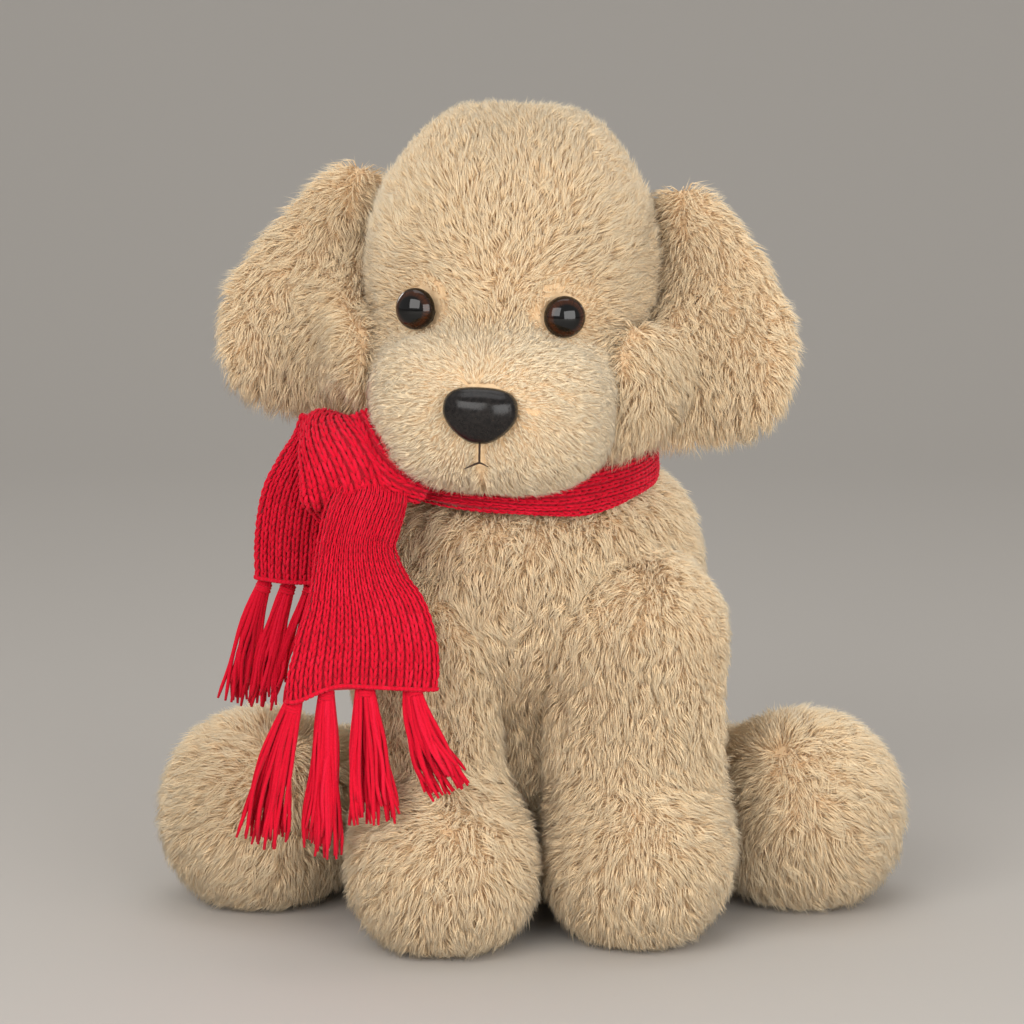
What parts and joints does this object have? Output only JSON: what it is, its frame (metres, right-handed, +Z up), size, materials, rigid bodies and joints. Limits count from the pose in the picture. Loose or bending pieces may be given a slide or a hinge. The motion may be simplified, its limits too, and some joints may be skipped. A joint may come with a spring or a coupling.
{
  "type": "plush toy puppy with knitted scarf",
  "caption": "Seated soft toy puppy: sewn pile-fabric head, body and limbs stuffed with fibre, floppy ears, moulded eyes and nose, and a knitted scarf with fringed ends.",
  "frame": {"origin": "middle of the seat's flat underside, on the floor", "axes": "+Z up; -Y is the way the chest faces; +X is the puppy's own left side"},
  "size_m": [0.234, 0.2223, 0.2704],
  "materials": {
    "plush_tan": "long-pile plush, light tan",
    "fibre_white": "loose polyester fibre",
    "pouch_cloth": "plain woven cloth",
    "pellets": "small plastic pellets, modelled as one charge",
    "eye_amber": "clear moulded cap over a dark brown iris",
    "eye_black": "black moulded pupil and post",
    "washer_white": "pressed lock washer",
    "nose_black": "glossy moulded black",
    "thread_dark": "embroidery thread",
    "thread_tan": "sewing thread",
    "knit_red": "stockinette knit in red yarn"
  },
  "bodies": {
    "torso": {"torso_left_panel": "plush_tan", "torso_right_panel": "plush_tan", "seat_panel": "plush_tan", "torso_fill": "fibre_white", "pellet_pouch": "pouch_cloth", "pellet_charge": "pellets", "back_closing_thread": "thread_tan", "scarf_neck_loop": "knit_red", "scarf_knot": "knit_red"},
    "neck": {"neck_fill": "fibre_white"},
    "head": {"head_left_panel": "plush_tan", "head_right_panel": "plush_tan", "muzzle_panel": "plush_tan", "head_fill": "fibre_white", "left_eye_lens": "eye_amber", "left_eye_post": "eye_black", "left_eye_washer": "washer_white", "right_eye_lens": "eye_amber", "right_eye_post": "eye_black", "right_eye_washer": "washer_white", "nose_button": "nose_black", "nose_washer": "washer_white", "mouth_thread": "thread_dark"},
    "left_ear": {"left_ear_front_panel": "plush_tan", "left_ear_back_panel": "plush_tan"},
    "right_ear": {"right_ear_front_panel": "plush_tan", "right_ear_back_panel": "plush_tan"},
    "left_foreleg": {"left_foreleg_shell": "plush_tan", "left_foreleg_fill": "fibre_white"},
    "right_foreleg": {"right_foreleg_shell": "plush_tan", "right_foreleg_fill": "fibre_white"},
    "left_hindleg": {"left_hindleg_shell": "plush_tan", "left_hindleg_fill": "fibre_white"},
    "right_hindleg": {"right_hindleg_shell": "plush_tan", "right_hindleg_fill": "fibre_white"},
    "tail": {"tail_shell": "plush_tan", "tail_fill": "fibre_white"},
    "scarf_front": {"scarf_front_end": "knit_red", "front_tassel_1": "knit_red", "front_tassel_2": "knit_red", "front_tassel_3": "knit_red", "front_tassel_4": "knit_red"},
    "scarf_rear": {"scarf_rear_end": "knit_red", "rear_tassel_1": "knit_red", "rear_tassel_2": "knit_red", "rear_tassel_3": "knit_red"}
  },
  "joints": [
    {"name": "neck_turn", "type": "hinge", "parent": "torso", "child": "neck", "pos_m": [-0.009, -0.0235, 0.166], "axis": [0, 0, 1], "range_deg": [-9, 20], "stiffness_Nm_per_rad": 0.8},
    {"name": "head_nod", "type": "hinge", "parent": "neck", "child": "head", "pos_m": [-0.009, -0.0235, 0.166], "axis": [1, 0, 0], "range_deg": [-8, 3], "stiffness_Nm_per_rad": 1.2},
    {"name": "left_ear_flap", "type": "hinge", "parent": "head", "child": "left_ear", "pos_m": [0.04401, -0.02103, 0.16171], "axis": [-0.0434, 0.0046, -0.999], "range_deg": [-22, 20], "stiffness_Nm_per_rad": 0.02},
    {"name": "right_ear_flap", "type": "hinge", "parent": "head", "child": "right_ear", "pos_m": [-0.06043, -0.01005, 0.16829], "axis": [0.0434, -0.0046, 0.999], "range_deg": [-22, 26], "stiffness_Nm_per_rad": 0.02},
    {"name": "left_foreleg_swing", "type": "hinge", "parent": "torso", "child": "left_foreleg", "pos_m": [0.032, -0.0465, 0.099], "axis": [-1, 0, 0], "range_deg": [0, 60], "stiffness_Nm_per_rad": 0.25},
    {"name": "right_foreleg_swing", "type": "hinge", "parent": "torso", "child": "right_foreleg", "pos_m": [-0.036, -0.0475, 0.097], "axis": [-1, 0, 0], "range_deg": [0, 60], "stiffness_Nm_per_rad": 0.25},
    {"name": "left_hindleg_spread", "type": "hinge", "parent": "torso", "child": "left_hindleg", "pos_m": [0.052, 0.0145, 0.03], "axis": [0, 0, 1], "range_deg": [-11, 14], "stiffness_Nm_per_rad": 0.25},
    {"name": "right_hindleg_spread", "type": "hinge", "parent": "torso", "child": "right_hindleg", "pos_m": [-0.048, 0.0145, 0.03], "axis": [0, 0, -1], "range_deg": [-11, 14], "stiffness_Nm_per_rad": 0.25},
    {"name": "tail_wag", "type": "hinge", "parent": "torso", "child": "tail", "pos_m": [0.002, 0.0525, 0.024], "axis": [0, 0, 1], "range_deg": [-30, 30], "stiffness_Nm_per_rad": 0.03},
    {"name": "scarf_front_drape", "type": "hinge", "parent": "torso", "child": "scarf_front", "pos_m": [-0.052, -0.0815, 0.147], "axis": [-1, 0, 0], "range_deg": [0, 60]},
    {"name": "scarf_rear_swing", "type": "hinge", "parent": "torso", "child": "scarf_rear", "pos_m": [-0.079, -0.0635, 0.161], "axis": [0, 1, 0], "range_deg": [0, 35], "stiffness_Nm_per_rad": 0.004}
  ],
  "couplings": [
    {"joint": "scarf_front_drape", "follows": "right_foreleg_swing", "ratio": 1}
  ]
}
